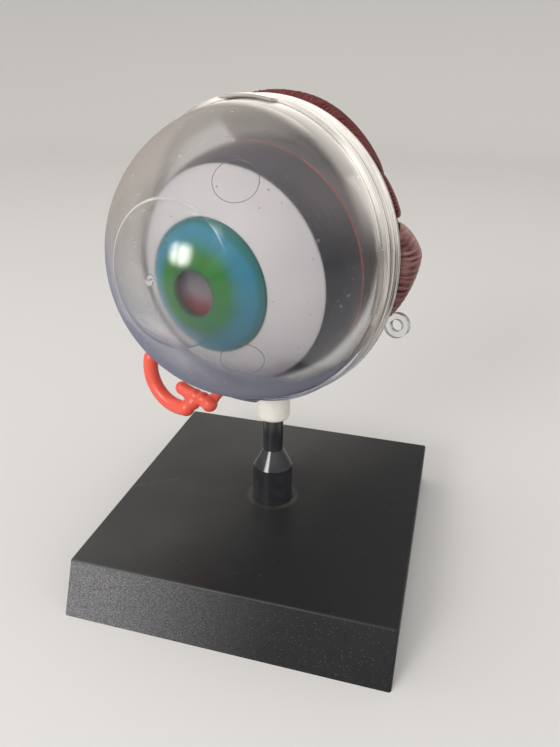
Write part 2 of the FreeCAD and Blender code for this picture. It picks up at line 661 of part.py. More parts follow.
def feature(name, shape):
    thing = doc.addObject("Part::Feature", name)
    thing.Shape = shape
    bind(thing, Placement=GLOBE)
    return thing


muscles = []
for name, clock, half_width, start, end, bulk in MUSCLES:
    muscles.append(feature(name, muscle(clock, half_width, start, end, size(bulk))))


def bar(start, end, radius):
    """Round bar with ball ends."""
    along = end - start
    body = Part.makeCylinder(radius, along.Length, start, along)
    return body.fuse([Part.makeSphere(radius, start), Part.makeSphere(radius, end)])


def loop():
    """Inferior oblique: crescent tube, cross head and a stalk that plugs into the globe."""
    points = (LOOP_TIP, LOOP_MIDDLE, LOOP_END, HEAD_LEFT, HEAD_RIGHT)
    tip, middle, end, left, right = [point * size("globe_radius") for point in points]
    path = Part.Wire([Part.Arc(tip, middle, end).toShape()])
    tangent = path.Edges[0].tangentAt(path.Edges[0].FirstParameter)
    rim = Part.Wire([Part.makeCircle(size("loop_radius"), tip, tangent)])
    tube = path.makePipeShell([rim], True, True)
    way = towards(LOOP_PEG_CLOCK, LOOP_PEG_ANGLE)
    foot = way * (size("globe_radius") + size("muscle_gap") + size("stalk_radius"))
    return tube.fuse([
        Part.makeSphere(size("loop_radius"), tip),
        bar(end, (left + right) / 2, size("head_radius")),
        bar(left, right, size("head_radius")),
        Part.makeSphere(size("knuckle_radius"), right),
        bar(right, foot, size("stalk_radius")),
        peg(LOOP_PEG_CLOCK, LOOP_PEG_ANGLE, foot.Length),
    ]).removeSplitter()


inferior_oblique = feature("inferior_oblique", loop())

PARTS = [base, post, sleeve, rear_shell, front_shell, choroid_cup, choroid_ring, retina,
         vitreous_body, ciliary_body, lens, sclera_dome, iris, optic_nerve,
         inferior_oblique] + muscles

doc.recompute()
for thing in doc.Objects:
    if {"Invalid", "Error"} & set(thing.State):
        raise RuntimeError("%s failed: %s" % (thing.Label, thing.State))
os.makedirs("parts", exist_ok=True)
for thing in PARTS:
    shape = thing.Shape
    if shape.isNull() or not shape.isValid():
        raise RuntimeError(thing.Label + " has no valid shape")
    if len(shape.Solids) != 1:
        raise RuntimeError("%s has %d solids" % (thing.Label, len(shape.Solids)))
for thing in PARTS:
    thing.Shape.exportStep("parts/%s.step" % thing.Label)
    print("%-18s %10.1f mm3" % (thing.Label, thing.Shape.Volume))
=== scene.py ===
import json
from math import cos, pi, radians, sin, sqrt

import bmesh
import bpy
from mathutils import Euler, Matrix, Vector

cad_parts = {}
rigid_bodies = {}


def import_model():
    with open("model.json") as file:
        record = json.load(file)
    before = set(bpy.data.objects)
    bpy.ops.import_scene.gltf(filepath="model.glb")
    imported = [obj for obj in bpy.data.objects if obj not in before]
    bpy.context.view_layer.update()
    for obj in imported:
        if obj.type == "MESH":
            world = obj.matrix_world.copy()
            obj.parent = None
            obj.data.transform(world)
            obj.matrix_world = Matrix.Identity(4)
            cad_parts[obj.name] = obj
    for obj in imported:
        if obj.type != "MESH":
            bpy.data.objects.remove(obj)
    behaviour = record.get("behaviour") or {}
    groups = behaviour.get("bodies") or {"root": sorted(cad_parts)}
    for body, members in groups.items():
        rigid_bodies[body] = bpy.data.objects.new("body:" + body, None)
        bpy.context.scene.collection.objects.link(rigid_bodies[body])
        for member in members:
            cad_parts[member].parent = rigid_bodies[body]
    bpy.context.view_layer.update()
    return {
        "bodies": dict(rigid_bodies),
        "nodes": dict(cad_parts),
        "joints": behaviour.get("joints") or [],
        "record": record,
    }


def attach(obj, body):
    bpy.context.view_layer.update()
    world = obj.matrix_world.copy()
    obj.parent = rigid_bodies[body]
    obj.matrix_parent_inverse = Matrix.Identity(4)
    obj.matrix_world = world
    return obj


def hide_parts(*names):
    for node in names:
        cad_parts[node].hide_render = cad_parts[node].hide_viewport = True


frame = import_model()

NODES = frame["nodes"]
MM = 0.001

# Sizes of the part that the looks follow
BASE_WIDTH = 92 * MM
GLOBE_HEIGHT = 96.8 * MM
GLOBE_FORWARD = 10.7 * MM
GAZE_TURN = 16
SHELL_TIP = 4.5
GLOBE_RADIUS = 37.6 * MM
SHELL_WALL = 1.3 * MM
BALL_RIGHT = 1.9 * MM
BALL_DROP = 1.7 * MM
BALL_DIP = 6.5
BALL_SEAM = 2.1 * MM
IRIS_RADIUS = 16 * MM
PUPIL_RADIUS = 5.45 * MM
CORNEA_BASE = 16.5 * MM
MUSCLE_GAP = 0.3 * MM
PEG_RADIUS = 1.5 * MM
FOOT_RADIUS = 6.3 * MM
PEG_REACH = 0.6 * MM
PEG_BEVEL = 0.3 * MM
PEG_SIDES = 40

# How far light wanders in the soft plastics
SOFT_DEPTH = 2 * MM


def spot(x=0, y=0, z=0, yaw=0, tip=0):
    """A frame moved to a point, turned about Z and then tipped about its own X."""
    turn = Matrix.Rotation(radians(yaw), 4, "Z") @ Matrix.Rotation(radians(tip), 4, "X")
    return Matrix.Translation((x, y, z)) @ turn


# In these frames X is to the viewer's right, Y is up and Z runs forward along the axis
GLOBE = spot(z=GLOBE_HEIGHT, yaw=-GAZE_TURN) @ spot(y=-GLOBE_FORWARD, tip=90 - SHELL_TIP)
BALL = GLOBE @ spot(x=BALL_RIGHT, y=-BALL_DROP, tip=BALL_DIP)


def towards(clock, angle):
    """Unit vector in the globe's frame: clock from the top, angle from the optical axis."""
    turn = radians(clock)
    lean = radians(angle)
    return Vector((sin(lean) * sin(turn), sin(lean) * cos(turn), cos(lean)))


def facing(way):
    """A turn that lays Z along a direction."""
    return way.to_track_quat("Z", "Y").to_matrix().to_4x4()


# ---------------------------------------------------------------- node trees


class Field:
    """A node's socket. Python's operators on it add Math nodes to its tree."""

    def __init__(self, sheet, socket):
        self.sheet = sheet
        self.socket = socket

    def math(self, operation, *others):
        """A Math node on this value and the others."""
        return self.sheet.node("ShaderNodeMath", {"operation": operation}, [self, *others])

    def __add__(self, other):
        return self.math("ADD", other)

    def __sub__(self, other):
        return self.math("SUBTRACT", other)

    def __rsub__(self, other):
        return self.sheet.node("ShaderNodeMath", {"operation": "SUBTRACT"}, [other, self])

    def __mul__(self, other):
        return self.math("MULTIPLY", other)

    def __truediv__(self, other):
        return self.math("DIVIDE", other)

    def __pow__(self, other):
        return self.math("POWER", other)

    def __abs__(self):
        return self.math("ABSOLUTE")

    __radd__ = __add__
    __rmul__ = __mul__

    def over(self, edge):
        """1 where the value is over the edge, 0 elsewhere."""
        return self.math("GREATER_THAN", edge)

    def fade(self, start, end):
        """0 at start, 1 at end, smooth between them."""
        return self.sheet.node("ShaderNodeMapRange", {"interpolation_type": "SMOOTHSTEP"},
                               {"Value": self, "From Min": start, "From Max": end})

    def also(self, output):
        """Another output of the same node."""
        return Field(self.sheet, self.socket.node.outputs[output])


class Sheet:
    """A node tree with one method that makes its nodes."""

    def __init__(self, tree):
        self.tree = tree

    def feed(self, socket, value):
        """Link a field to a socket, or set the socket's own value."""
        if isinstance(value, Field):
            self.tree.links.new(value.socket, socket)
        else:
            socket.default_value = value

    def node(self, kind, settings=None, sockets=(), output=0):
        """Make a node, give it its settings and its sockets' values, and return one output."""
        made = self.tree.nodes.new(kind)
        for name, value in (settings or {}).items():
            setattr(made, name, value)
        pairs = sockets.items() if isinstance(sockets, dict) else enumerate(sockets)
        for name, value in pairs:
            self.feed(made.inputs[name], value)
        return Field(self, made.outputs[output])

    def noise(self, place, size, detail=2, roughness=0.5):
        """Cloudy pattern whose blobs are about that size, in metres."""
        return self.node("ShaderNodeTexNoise", None,
                         {"Vector": place, "Scale": 1 / size, "Detail": detail,
                          "Roughness": roughness})

    def split(self, place):
        """The X, Y and Z of a place."""
        axes = self.node("ShaderNodeSeparateXYZ", None, [place])
        return axes, axes.also(1), axes.also(2)

    def join(self, x, y, z):
        return self.node("ShaderNodeCombineXYZ", None, [x, y, z])


class Finish(Sheet):
    """A material round one Principled surface."""

    def __init__(self, name):
        self.material = bpy.data.materials.new(name)
        self.material.use_nodes = True
        super().__init__(self.material.node_tree)
        self.surface = self.tree.nodes["Principled BSDF"]

    def place(self):
        """Object coordinates."""
        return self.node("ShaderNodeTexCoord", output="Object")

    def inside(self, frame):
        """Object coordinates seen from a frame of the eye."""
        turn = Euler(frame.to_euler())
        return self.node("ShaderNodeMapping", {"vector_type": "TEXTURE"},
                         {"Vector": self.place(), "Location": frame.translation,
                          "Rotation": turn})

    def stretch(self, place, scale):
        return self.node("ShaderNodeVectorMath", {"operation": "MULTIPLY"}, [place, scale])

    def mix(self, share, low, high):
        """The low colour where the share is 0 and the high one where it is 1."""
        colors = [color if isinstance(color, Field) else (*color, 1) for color in (low, high)]
        return self.node("ShaderNodeMix", {"data_type": "RGBA"},
                         {0: share, 6: colors[0], 7: colors[1]}, output=2)

    def specks(self, place, size, share):
        """Small round specks, in that share of the cells of a grid of that size."""
        cells = self.node("ShaderNodeTexVoronoi", None, {"Vector": place, "Scale": 1 / size})
        lot = self.split(cells.also("Color"))[0]
        return cells.fade(0.3, 0.12) * lot.over(1 - share)

    def bump(self, height, depth):
        """Normal from a height field from 0 to 1 that stands for a depth in metres."""
        return self.node("ShaderNodeBump", None, {"Height": height, "Distance": depth,
                                                  "Strength": 1.0})

    def set(self, **sockets):
        """Feed the surface's sockets, with _ for a space in their names."""
        for name, value in sockets.items():
            self.feed(self.surface.inputs[name.replace("_", " ")], value)
        return self.material

    def blend(self, share, low, high):
        """The low shader where the share is 0 and the high one where it is 1."""
        return self.node("ShaderNodeMixShader", None, [share, low, high])

    def cover(self, share, shader):
        """Lay another shader over the surface by that share."""
        mixed = self.blend(share, Field(self, self.surface.outputs[0]), shader)
        self.tree.links.new(mixed.socket, self.tree.nodes["Material Output"].inputs["Surface"])
        return self.material


# ---------------------------------------------------------------- finishes


def plinth_black():
    """Satin black with handling marks; the sloped front is grained, with painted glints, and a
    painted reflection keeps its left lighter while its right fades to black.
    """
    skin = Finish("plinth_black")
    place = skin.place()
    x, y, z = skin.split(place)
    front = y.fade(-BASE_WIDTH / 2 - 0.05 * MM, -BASE_WIDTH / 2 - 0.35 * MM)
    smear = skin.noise(place, 34 * MM, 5, 0.55)
    streaks = skin.noise(skin.stretch(place, (1.0, 7.0, 1.0)), 16 * MM, 6, 0.7)
    slanted = skin.join((x + y * 0.7) * 0.03, y - x * 0.7, z)
    scratch = skin.noise(slanted, 5 * MM, 2, 0.4).fade(0.69, 0.72) * streaks.fade(0.45, 0.6)
    grain = skin.noise(place, 0.30 * MM, 2)
    dust = skin.specks(place, 0.9 * MM, 0.02)
    painted_glints = skin.specks(place, 0.34 * MM, 0.14)
    foot = abs((x * x + y * y) ** 0.5 - FOOT_RADIUS - 1.2 * MM)
    halo = foot.fade(1.3 * MM, 0.2 * MM) * smear.fade(0.35, 0.6)
    worn = (0.4 + smear.fade(0.2, 0.8) * 0.3) * (0.15 + (y * 0.5 - x).fade(-30 * MM, 30 * MM))
    top = skin.mix(worn, (0.006, 0.006, 0.007), (0.085, 0.085, 0.082))
    top = skin.mix(dust * 0.3 + scratch * 0.25 + halo * 0.3, top, (0.20, 0.20, 0.19))
    face = skin.mix(grain.fade(0.3, 0.8), (0.065, 0.064, 0.070), (0.270, 0.267, 0.275))
    # Painted reflection: the grey grain stands for the lit front and fades to black towards the
    # right
    face = skin.mix(x.fade(-50 * MM, 18 * MM) * 0.96, face, (0.004, 0.004, 0.006))
    # Painted glints: bright specks in the grain
    face = skin.mix(painted_glints * 0.5, face, (0.34, 0.33, 0.38))
    height = grain * (0.1 + front * 0.9) + streaks * 0.1
    return skin.set(
        Base_Color=skin.mix(front, top, face),
        Roughness=0.28 + smear.fade(0.3, 0.7) * 0.12 + streaks.fade(0.35, 0.8) * 0.1,
        Normal=skin.bump(height, 0.03 * MM),
        Specular_IOR_Level=0.28,
    )


def post_black():
    """Turned gloss black, with faint rings from the mould."""
    skin = Finish("post_black")
    place = skin.place()
    rings = skin.noise(skin.stretch(place, (0.02, 0.02, 1.0)), 0.9 * MM, 3)
    smear = skin.noise(place, 9 * MM, 4)
    return skin.set(
        Base_Color=skin.mix(smear.fade(0.4, 0.7), (0.022, 0.022, 0.026), (0.042, 0.042, 0.047)),
        Roughness=0.07 + smear * 0.12,
        Normal=skin.bump(rings, 0.012 * MM),
    )


def sleeve_white():
    """Warm white plastic with a few soiled patches."""
    skin = Finish("sleeve_white")
    place = skin.place()
    grime = skin.noise(place, 4 * MM, 5, 0.65)
    return skin.set(
        Base_Color=skin.mix(grime.fade(0.5, 0.8) * 0.6, (0.85, 0.835, 0.775), (0.70, 0.67, 0.60)),
        Roughness=0.30 + grime * 0.15,
        Normal=skin.bump(skin.noise(place, 0.8 * MM, 3), 0.01 * MM),
        Subsurface_Weight=0.15,
        Subsurface_Scale=SOFT_DEPTH,
    )


# Colours painted on the clear shells: reflections low and high on the front, pale highlights and
# dust on rims, and shade on the back
LOW_REFLECTION = (0.34, 0.35, 0.445)
HIGH_REFLECTION = (0.47, 0.43, 0.40)
HIGHLIGHT_AND_DUST = (0.92, 0.88, 0.83)
BACK_SHADE = (0.33, 0.29, 0.25)


def clear_plastic(name, haze_and_reflection):
    """Moulded clear plastic, slightly rough, with dust and finger marks; painted reflections make
    it milky where it curves away and clouded in patches, and painted highlights run along the seam
    and the cornea's foot.
    """
    skin = Finish(name)
    place = skin.place()
    touch = skin.noise(place, 14 * MM, 4, 0.6)
    film = skin.noise(place, 1.2 * MM, 3)
    x, y, z = skin.split(skin.inside(GLOBE))
    graze = skin.node("ShaderNodeLayerWeight", None, {"Blend": 0.5}, "Facing")
    skin.set(
        Base_Color=skin.mix(touch, (0.96, 0.965, 0.97), (0.93, 0.935, 0.94)),
        Roughness=haze_and_reflection * (0.6 + touch * 0.6 + film * 0.2 + graze ** 3 * 2),
        Transmission_Weight=1.0,
        IOR=1.49,
        Specular_IOR_Level=0.22,
    )
    # Painted highlight lines: round the seam and at the cornea's foot
    reach = (x * x + y * y) ** 0.5
    seam_highlight = abs(z).fade(6 * MM, 3.5 * MM) * reach.over(GLOBE_RADIUS * 0.94)
    crease_highlight = abs(reach - CORNEA_BASE).fade(0.45 * MM, 0.1 * MM) * z.over(GLOBE_RADIUS * 0.7)
    crease_highlight = crease_highlight * (y - x * 2).fade(-14 * MM, 26 * MM)
    round_place = skin.join(x / reach * 1.3, y / reach * 1.3, z / (0.8 * MM))
    streak = skin.noise(round_place, 1, 2, 0.6).fade(0.42, 0.66)
    seam_highlight = seam_highlight * (0.25 + streak * 1.1)
    # Painted reflection clouds: under the gaze, over it, a pale band along the top of the seam,
    # and beside the cornea
    low = (x.math("MAXIMUM", 0) * 0.4 + y).fade(-10 * MM, -17 * MM)
    crown = (y - x * 0.5).fade(18 * MM, 26 * MM) * z.over(9 * MM)
    high = (x * 0.5 + y).fade(24 * MM, 34 * MM) * z.fade(13 * MM, 9 * MM) * z.fade(-8 * MM, 0)
    left = (x + y * 0.24).fade(1.5 * MM, -2.5 * MM) * y.fade(-13 * MM, -6 * MM) * z.over(8 * MM)
    # The painted reflections and highlights, the finger marks and the dust lie on the outer face
    # alone
    dust = skin.specks(place, 0.8 * MM, 0.02) + skin.specks(place, 1.3 * MM, 0.01)
    skin_deep = (reach * reach + z * z) ** 0.5
    # Finger marks and dust, with painted reflection: milky where the surface turns away, and in
    # the clouds
    smudge_and_reflection = haze_and_reflection * (touch.fade(0.3, 0.7) * 0.2 + graze ** 4 * 14 + seam_highlight * 5 + crease_highlight * 5
                   + dust * 3.5 + high * 4
                   + graze.fade(0.15, 0.42) * (low * 6 + left * (1 - graze) * 9 + crown * 4))
    smudge_and_reflection = smudge_and_reflection * skin_deep.over(GLOBE_RADIUS - SHELL_WALL / 2)
    # It scatters light back and lets some of it through
    passing = (1 - seam_highlight - high) * 0.45
    below, above, rim, behind = [
        skin.blend(passing,
                   skin.node("ShaderNodeBsdfDiffuse", None, {"Color": (*color, 1)}),
                   skin.node("ShaderNodeBsdfTranslucent", None, {"Color": (*color, 1)}))
        for color in (LOW_REFLECTION, HIGH_REFLECTION, HIGHLIGHT_AND_DUST, BACK_SHADE)]
    # Painted light: the seam's highlight is brightest towards the upper right
    seam_lit_side = (y + x * 0.5).fade(-10 * MM, 30 * MM)
    # Painted reflection: lavender below, warm and pale above
    dust_and_reflection_tint = skin.blend((x * 0.4 + y).fade(-18 * MM, 4 * MM), below, above)
    # Painted highlights on the crease, and pale dust, take the rim colour
    dust_and_reflection_tint = skin.blend(crease_highlight * 0.7 + dust * 0.7, dust_and_reflection_tint, rim)
    # Painted highlights round the seam and in the band above it
    dust_and_reflection_tint = skin.blend(seam_highlight * seam_lit_side + high * z.fade(13 * MM, 4 * MM), dust_and_reflection_tint, rim)
    # Painted shade: the back shell takes a darker brownish colour
    dust_and_reflection_tint = skin.blend(z.fade(-2 * MM, -3.5 * MM) * 0.8, dust_and_reflection_tint, behind)
    return skin.cover(smudge_and_reflection, dust_and_reflection_tint)


def choroid_dark():
    """Dark satin ball with fine lint, and a pale pinkish painted sheen over the top of its back.
    """
    skin = Finish("choroid_dark")
    place = skin.place()
    x, y, z = skin.split(skin.inside(BALL))
    cloud = skin.noise(place, 11 * MM, 4)
    # Painted sheen: pale over the top of the back, strongest behind the seam and to the right
    film = (y + x * 0.35 - z * 0.5 + cloud * 8 * MM).fade(12 * MM, 33 * MM)
    film = film * (0.4 + z.fade(BALL_SEAM + 0.8 * MM, BALL_SEAM - 0.6 * MM) * 0.6)
    lint = skin.specks(place, 0.7 * MM, 0.14) + skin.specks(place, 1.2 * MM, 0.05)
    hairs = skin.specks(skin.stretch(place, (1.0, 0.22, 0.8)), 1.3 * MM, 0.03)
    color = skin.mix(cloud.fade(0.3, 0.75), (0.003, 0.004, 0.020), (0.010, 0.012, 0.046))
    color = skin.mix(film * (0.6 + x.fade(14 * MM, 24 * MM) * 0.4), color, (0.470, 0.385, 0.390))
    color = skin.mix(lint * 0.5 + hairs * 0.5, color, (0.50, 0.50, 0.55))
    return skin.set(
        Base_Color=color,
        Roughness=0.38 + cloud * 0.2,
        Normal=skin.bump(skin.noise(place, 3 * MM, 1), 0.03 * MM),
        Specular_IOR_Level=0.12,
    )


def mark_grey():
    """The shadow line of a mould's pin."""
    skin = Finish("mark_grey")
    cloud = skin.noise(skin.place(), 3 * MM, 3)
    return skin.set(Base_Color=skin.mix(cloud, (0.10, 0.10, 0.11), (0.30, 0.30, 0.31)),
                    Roughness=0.2 + cloud * 0.2, Alpha=0.45 + cloud * 0.5)


def retina_red():
    """Orange red, darker towards the nerve, with branching vessels."""
    skin = Finish("retina_red")
    here = skin.inside(BALL)
    height = skin.split(here)[2]
    bent = skin.noise(here, 8 * MM, 3)
    sway = skin.node("ShaderNodeVectorMath", {"operation": "SCALE"},
                     {0: bent.also("Color"), "Scale": 7 * MM})
    course = skin.node("ShaderNodeVectorMath", {"operation": "ADD"}, [here, sway])
    vessels = skin.node("ShaderNodeTexVoronoi", {"feature": "DISTANCE_TO_EDGE"},
                        {"Vector": skin.stretch(course, (1.0, 1.0, 0.4)), "Scale": 1 / (8 * MM)})
    line = vessels.fade(0.035, 0.01) * bent.fade(0.42, 0.6)
    deep = height.fade(-10 * MM, -29 * MM)
    color = skin.mix(deep * 0.6, (0.80, 0.17, 0.07), (0.42, 0.05, 0.03))
    return skin.set(
        Base_Color=skin.mix(line * 0.7, color, (0.36, 0.02, 0.015)),
        Roughness=0.34 + bent * 0.12,
        Normal=skin.bump(line, 0.12 * MM),
    )


def sclera_white():
    """White satin dome with fine specks and scuffs, and painted violet-grey shade that deepens
    downwards.
    """
    skin = Finish("sclera_white")
    here = skin.inside(BALL)
    height = skin.split(here)[1]
    cloud = skin.noise(here, 13 * MM, 4)
    specks = skin.specks(here, 1.7 * MM, 0.02)
    scuffs = skin.specks(skin.stretch(here, (0.25, 1.0, 0.6)), 1.6 * MM, 0.02)
    color = skin.mix(cloud, (0.85, 0.795, 0.825), (0.91, 0.86, 0.875))
    # Painted shade: greyer and a touch violet towards the bottom
    color = skin.mix(height.fade(4 * MM, -26 * MM) * 0.6, color, (0.42, 0.41, 0.47))
    color = skin.mix(specks * 0.25 + scuffs * 0.3, color, (0.36, 0.35, 0.36))
    return skin.set(
        Base_Color=color,
        Roughness=0.33 + cloud * 0.15,
        Normal=skin.bump(skin.noise(here, 0.9 * MM, 3), 0.01 * MM),
        Subsurface_Weight=0.1,
        Subsurface_Scale=SOFT_DEPTH,
    )


def iris_blue():
    """Sprayed rings: teal at the rim, blue, then green up to the pupil, with fine rays and painted
    shade towards the bottom.
    """
    skin = Finish("iris_blue")
    here = skin.inside(BALL)
    x, y = skin.split(here)[:2]
    reach = (x * x + y * y) ** 0.5
    ray_place = skin.join(x / reach * 9, y / reach * 9, reach * 90)
    rays = skin.noise(ray_place, 1, 4, 0.65)
    cloud = skin.noise(here, 5 * MM, 3)
    edge = reach + (cloud - 0.5) * 1.6 * MM + (rays - 0.5) * 0.5 * MM
    blue = skin.mix(rays, (0.010, 0.180, 0.320), (0.030, 0.370, 0.540))
    green = skin.mix(rays, (0.000, 0.130, 0.006), (0.035, 0.310, 0.035))
    color = skin.mix(edge.fade(8.6 * MM, 13.2 * MM), green, blue)
    color = skin.mix(edge.fade(IRIS_RADIUS - 2.0 * MM, IRIS_RADIUS - 0.6 * MM),
                     color, (0.004, 0.200, 0.190))
    color = skin.mix(edge.fade(PUPIL_RADIUS + 1.15 * MM, PUPIL_RADIUS + 0.05 * MM) * 0.6,
                     color, (0.04, 0.07, 0.06))
    # Painted shade: darker blue towards the bottom
    color = skin.mix((y - x * 0.5).fade(2 * MM, -16 * MM) * 0.45, color, (0.0, 0.085, 0.165))
    return skin.set(
        Base_Color=color,
        Roughness=0.24 + rays * 0.14,
        Normal=skin.bump(rays, 0.03 * MM),
        Specular_IOR_Level=0.12,
    )


def lens_milk():
    """Clear plastic with a milky body, grey above and dark red below, where the retina seen
    through it is painted in, with a faint painted glow.
    """
    skin = Finish("lens_milk")
    here = skin.inside(BALL)
    height = skin.split(here)[1]
    cloud = skin.noise(here, 5 * MM, 4)
    low = (height - (cloud - 0.5) * 6 * MM).fade(1.5 * MM, -5 * MM)
    # Painted: the red of the retina behind, showing through the lower part
    color = skin.mix(low, (0.26, 0.235, 0.27), (0.42, 0.05, 0.085))
    return skin.set(
        Base_Color=color,
        Roughness=0.10 + cloud * 0.10,
        Transmission_Weight=0.35,
        IOR=1.45,
        # Painted glow: the lens gives off a faint light of its own colour
        Emission_Color=color,
        Emission_Strength=0.04,
    )


def ciliary_brown():
    """Dark brown ring with folds that run in towards the lens."""
    skin = Finish("ciliary_brown")
    x, y = skin.split(skin.inside(BALL))[:2]
    reach = (x * x + y * y) ** 0.5
    folds = skin.noise(skin.join(x / reach * 14, y / reach * 14, reach * 20), 1, 2)
    return skin.set(
        Base_Color=skin.mix(folds.fade(0.35, 0.65), (0.10, 0.035, 0.028), (0.24, 0.10, 0.075)),
        Roughness=0.42 + folds * 0.15,
        Normal=skin.bump(folds, 0.35 * MM),
    )


def nerve_yellow():
    """Pale yellow sheath with fibres along it."""
    skin = Finish("nerve_yellow")
    here = skin.inside(BALL)
    fibres = skin.noise(skin.stretch(here, (1.0, 1.0, 0.04)), 1.1 * MM, 3)
    return skin.set(
        Base_Color=skin.mix(fibres.fade(0.3, 0.7), (0.66, 0.50, 0.22), (0.74, 0.60, 0.31)),
        Roughness=0.34 + fibres * 0.15,
        Normal=skin.bump(fibres, 0.10 * MM),
    )


def muscle_brown(name, groove, top, dust):
    """Painted shade darkens the grooves and the underside; dusty towards the back, with fibres
    lengthways.
    """
    skin = Finish(name)
    ridge = skin.node("ShaderNodeAttribute", {"attribute_name": "ridge"}, output="Fac")
    along = skin.node("ShaderNodeAttribute", {"attribute_name": "along"}, output="Vector")
    share = skin.split(along)[2]
    fibres = skin.noise(skin.stretch(along, (1.0, 0.07, 0.0)), 0.7 * MM, 4, 0.6)
    cloud = skin.noise(skin.place(), 7 * MM, 3)
    # Painted shade: grooves and the underside take the groove colour, ridge tops the top colour
    color = skin.mix(ridge.fade(0.1, 0.9), groove, top)
    color = skin.mix(fibres.fade(0.42, 0.62) * 0.4 + share.fade(0.08, 0.42) * 0.7, color, dust)
    color = skin.mix(cloud.fade(0.45, 0.75) * 0.25, color, groove)
    return skin.set(
        Base_Color=color,
        Roughness=0.40 + fibres * 0.2,
        Normal=skin.bump(fibres, 0.2 * MM),
        Specular_IOR_Level=0.13,
    )


def muscle_red():
    """Bright red, glossy, a little translucent."""
    skin = Finish("muscle_red")
    place = skin.place()
    cloud = skin.noise(place, 5 * MM, 3)
    return skin.set(
        Base_Color=skin.mix(cloud, (0.78, 0.085, 0.050), (0.84, 0.125, 0.080)),
        Roughness=0.26 + cloud * 0.16,
        Normal=skin.bump(skin.noise(place, 1.6 * MM, 3), 0.03 * MM),
        Subsurface_Weight=0.12,
        Subsurface_Scale=SOFT_DEPTH,
    )


CLEAR = clear_plastic("clear_shell", 0.10)
DARK = choroid_dark()
FINISHES = {
    "base": plinth_black(),
    "post": post_black(),
    "sleeve": sleeve_white(),
    "rear_shell": CLEAR,
    "front_shell": CLEAR,
    "choroid_cup": DARK,
    "choroid_ring": DARK,
    "retina": retina_red(),
    "vitreous_body": clear_plastic("clear_body", 0.04),
    "ciliary_body": ciliary_brown(),
    "lens": lens_milk(),
    "sclera_dome": sclera_white(),
    "iris": iris_blue(),
    "optic_nerve": nerve_yellow(),
}
# Groove colours are painted shade
WINE = muscle_brown("muscle_wine", groove=(0.052, 0.009, 0.010), top=(0.190, 0.048, 0.045),
                    dust=(0.150, 0.042, 0.041))
BROWN = muscle_brown("muscle_brown", groove=(0.058, 0.015, 0.018), top=(0.170, 0.060, 0.057),
                     dust=(0.460, 0.270, 0.235))
RED = muscle_red()

for name, material in FINISHES.items():
    NODES[name].data.materials.clear()
    NODES[name].data.materials.append(material)


# ---------------------------------------------------------------- pieces


def settle(name, mesh, body, slot, *nodes):
    """A finished mesh becomes a piece that rides a body and stands for CAD nodes."""
    piece = bpy.data.objects.new(name, mesh)
    bpy.context.scene.collection.objects.link(piece)
    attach(piece, body)
    if nodes:
        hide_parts(*nodes)
    return piece


